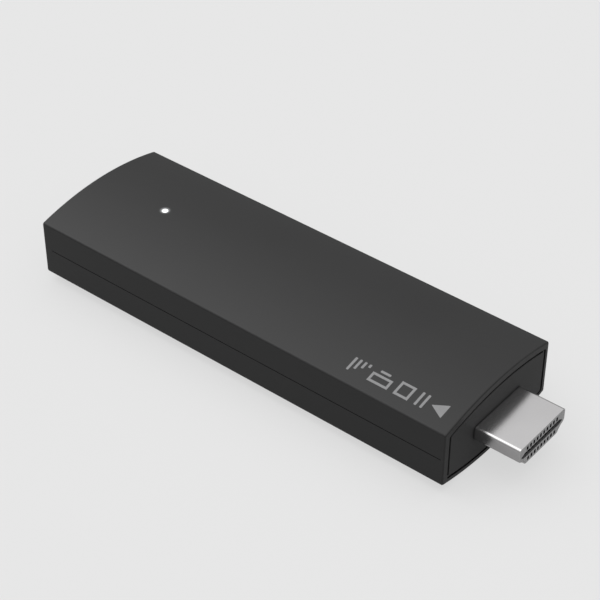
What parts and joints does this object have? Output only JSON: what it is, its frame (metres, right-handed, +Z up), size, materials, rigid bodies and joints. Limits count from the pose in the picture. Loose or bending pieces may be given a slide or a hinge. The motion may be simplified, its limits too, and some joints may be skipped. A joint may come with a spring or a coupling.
{
  "type": "streaming media player stick",
  "caption": "Crowned two-part plastic stick with an HDMI plug through its end panel, a status light on top, and a power inlet and reset button at the rear.",
  "frame": {"origin": "under the middle of the overall box, on the surface it rests on", "axes": "+X along the stick towards the tip of the plug, +Y across, +Z up through the crowned top"},
  "size_m": [0.1022, 0.031, 0.0154],
  "materials": {
    "top_casing": "fine spark-eroded texture, charcoal",
    "bottom_casing": "fine spark-eroded texture, charcoal",
    "panel_plastic": "smoother satin moulding, charcoal",
    "clear_pipe": "clear polycarbonate, lit white",
    "led_body": "white package with a clear lens",
    "plug_metal": "satin nickel plate",
    "plug_insulator": "grey glass-filled moulding",
    "gold_contacts": "gold flash",
    "board_mask": "green solder mask",
    "screw_steel": "zinc plate",
    "inlet_metal": "drawn stainless steel",
    "inlet_plastic": "black liquid-crystal polymer",
    "button_plastic": "satin charcoal",
    "plunger_plastic": "natural nylon",
    "switch_metal": "tinned cover",
    "chip_package": "black epoxy",
    "shield_metal": "tinned sheet",
    "thermal_pad": "soft silicone",
    "spreader_metal": "rolled sheet",
    "antenna_metal": "gold-flashed stamping",
    "ferrite": "pressed ferrite",
    "capacitor_ceramic": "fired ceramic",
    "resistor_ceramic": "glazed film",
    "crystal_can": "welded can"
  },
  "bodies": {
    "casing": {"top_shell": "top_casing", "bottom_shell": "bottom_casing", "end_panel": "panel_plastic", "light_pipe": "clear_pipe", "status_led": "led_body", "hdmi_plug_shell": "plug_metal", "hdmi_insulator": "plug_insulator", "hdmi_upper_contacts": "gold_contacts", "hdmi_lower_contacts": "gold_contacts", "main_board": "board_mask", "board_screws": "screw_steel", "usb_c_shell": "inlet_metal", "usb_c_tongue": "inlet_plastic", "usb_c_contacts": "gold_contacts", "reset_switch_body": "switch_metal", "processor": "chip_package", "memory_chips": "chip_package", "flash_storage": "chip_package", "shield_frame": "shield_metal", "shield_lid": "shield_metal", "processor_thermal_pad": "thermal_pad", "lid_thermal_pad": "thermal_pad", "heat_spreader": "spreader_metal", "wireless_board": "board_mask", "wireless_can": "shield_metal", "left_antenna": "antenna_metal", "right_antenna": "antenna_metal", "power_regulator": "chip_package", "power_inductors": "ferrite", "ceramic_capacitors": "capacitor_ceramic", "chip_resistors": "resistor_ceramic", "clock_crystal": "crystal_can", "hdmi_filter_chips": "chip_package"},
    "button": {"reset_button": "button_plastic", "reset_switch_plunger": "plunger_plastic"}
  },
  "joints": [
    {"name": "reset_press", "type": "slide", "parent": "casing", "child": "button", "axis": [1, 0, 0], "range_m": [0, 0.0003], "stiffness_N_per_m": 4000}
  ]
}
